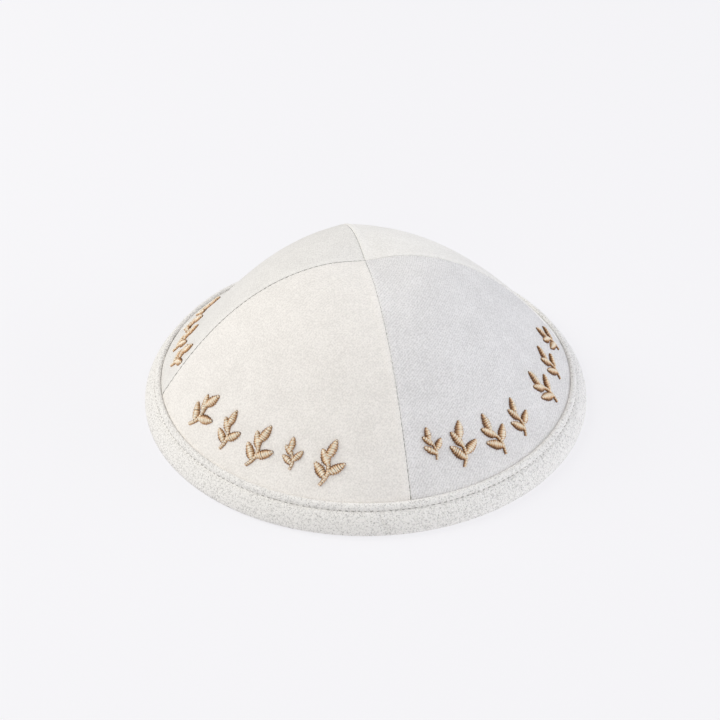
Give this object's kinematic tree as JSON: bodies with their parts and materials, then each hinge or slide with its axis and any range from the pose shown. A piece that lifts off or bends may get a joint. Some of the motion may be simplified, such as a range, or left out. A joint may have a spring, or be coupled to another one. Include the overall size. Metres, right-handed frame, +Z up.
{
  "type": "kippah skullcap",
  "caption": "Shallow dome-shaped skullcap of sewn cloth panels with a folded rim band and small stitched leaf sprigs along the lower edge.",
  "frame": {"origin": "centre of the rim, on the plane the rim rests on", "axes": "+Z up along the crown's axis; -Y is the front, the side the picture looks at; +X is to the right in the picture"},
  "size_m": [0.1646, 0.1646, 0.0579],
  "materials": {
    "cloth_front_left": "brushed suede cloth",
    "cloth_front_right": "brushed suede cloth",
    "cloth_back_left": "brushed suede cloth",
    "cloth_back_right": "brushed suede cloth",
    "band_cloth": "nubby suede cloth",
    "sprig_thread": "satin stitched thread"
  },
  "bodies": {
    "root": {"crown_panel_back_left": "cloth_back_left", "crown_panel_back_right": "cloth_back_right", "crown_panel_front_left": "cloth_front_left", "crown_panel_front_right": "cloth_front_right", "rim_band": "band_cloth", "sprig_back_left_1": "sprig_thread", "sprig_back_left_2": "sprig_thread", "sprig_back_left_3": "sprig_thread", "sprig_back_left_4": "sprig_thread", "sprig_front_left_1": "sprig_thread", "sprig_front_left_2": "sprig_thread", "sprig_front_left_3": "sprig_thread", "sprig_front_left_4": "sprig_thread", "sprig_front_left_5": "sprig_thread", "sprig_front_right_1": "sprig_thread", "sprig_front_right_2": "sprig_thread", "sprig_front_right_3": "sprig_thread", "sprig_front_right_4": "sprig_thread", "sprig_front_right_5": "sprig_thread", "sprig_front_right_6": "sprig_thread", "sprig_front_right_7": "sprig_thread"}
  },
  "joints": []
}
